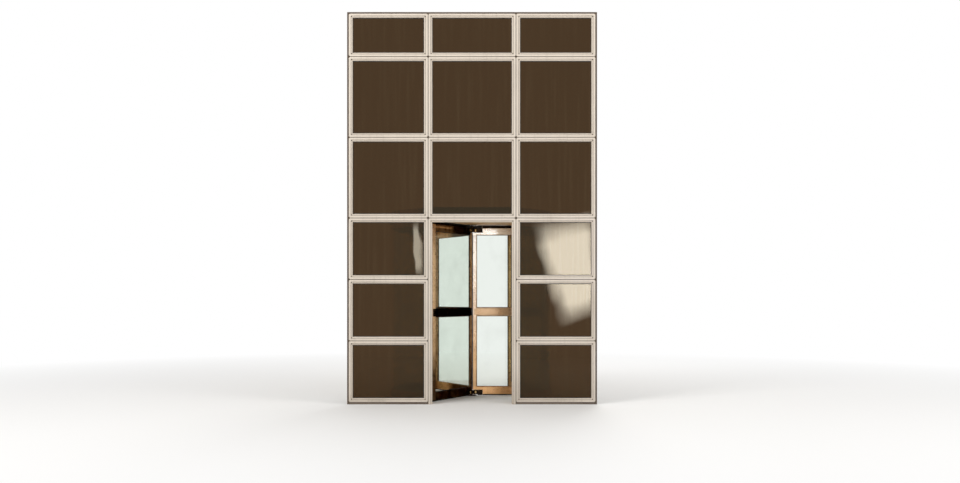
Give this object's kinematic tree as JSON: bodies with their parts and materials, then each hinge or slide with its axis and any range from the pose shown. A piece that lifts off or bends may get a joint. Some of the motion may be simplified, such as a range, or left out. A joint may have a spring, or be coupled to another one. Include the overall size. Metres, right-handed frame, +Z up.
{
  "type": "revolving door in a glazed entrance screen",
  "caption": "Revolving door with bronze-framed wings in a round glass drum, set behind the doorway of a tall off-white glazed entrance screen.",
  "frame": {"origin": "on the floor, on the axis of the door's central shaft, at the underside of the floor pivot", "axes": "+X to the right seen from the street, +Y into the building, +Z up along the shaft"},
  "size_m": [3.1236, 2.248, 4.9015],
  "materials": {
    "white_paint": "satin off-white paint",
    "joint_paint": "matt grey-beige paint",
    "dark_closer": "matt dark brown paint",
    "tinted_glass": "polished bronze-tinted",
    "clear_glass": "polished clear",
    "bronze": "polished bronze",
    "ceiling_paint": "satin tan paint",
    "dark_metal": "oiled dark bronze",
    "steel": "brushed",
    "brush": "black brush strip",
    "black_rubber": "matt black extrusion",
    "brass": "polished brass"
  },
  "bodies": {
    "enclosure": {"edge_closer": "dark_closer", "sills": "dark_closer", "screen_mullions": "joint_paint", "screen_transoms": "joint_paint", "left_lower_frames": "white_paint", "left_upper_frames": "white_paint", "right_lower_frames": "white_paint", "right_upper_frames": "white_paint", "centre_frames": "white_paint", "doorway_frame": "white_paint", "left_panes": "tinted_glass", "right_panes": "tinted_glass", "centre_panes": "tinted_glass", "front_left_post": "bronze", "front_right_post": "bronze", "rear_left_post": "bronze", "rear_right_post": "bronze", "left_base_rail": "bronze", "right_base_rail": "bronze", "left_head_rail": "bronze", "right_head_rail": "bronze", "left_drum_glass": "clear_glass", "right_drum_glass": "clear_glass", "finger_guards": "black_rubber", "ceiling_disc": "ceiling_paint", "canopy_fascia": "bronze", "canopy_cover": "bronze", "ceiling_flange": "dark_metal", "top_bearing": "steel", "floor_pivot": "dark_metal"},
    "rotor": {"centre_shaft": "steel", "hanger_hub": "dark_metal", "bottom_hub": "dark_metal", "pin_sleeves": "brass", "front_wing_frame": "bronze", "front_wing_push_rail": "bronze", "front_wing_glass": "clear_glass", "front_wing_sweeps": "brush"},
    "right_wing": {"right_wing_frame": "bronze", "right_wing_push_rail": "bronze", "right_wing_glass": "clear_glass", "right_wing_sweeps": "brush"},
    "rear_wing": {"rear_wing_frame": "bronze", "rear_wing_push_rail": "bronze", "rear_wing_glass": "clear_glass", "rear_wing_sweeps": "brush"}
  },
  "joints": [
    {"name": "rotor_spin", "type": "hinge", "parent": "enclosure", "child": "rotor", "pos_m": [0, 0, 0], "axis": [0, 0, 1], "continuous": true},
    {"name": "right_wing_fold", "type": "hinge", "parent": "rotor", "child": "right_wing", "pos_m": [0.052, 0, 0], "axis": [0, 0, 1], "range_deg": [-120, 0]},
    {"name": "rear_wing_fold", "type": "hinge", "parent": "rotor", "child": "rear_wing", "pos_m": [-0.026, 0.04503, 0], "axis": [0, 0, 1], "range_deg": [0, 120]}
  ]
}
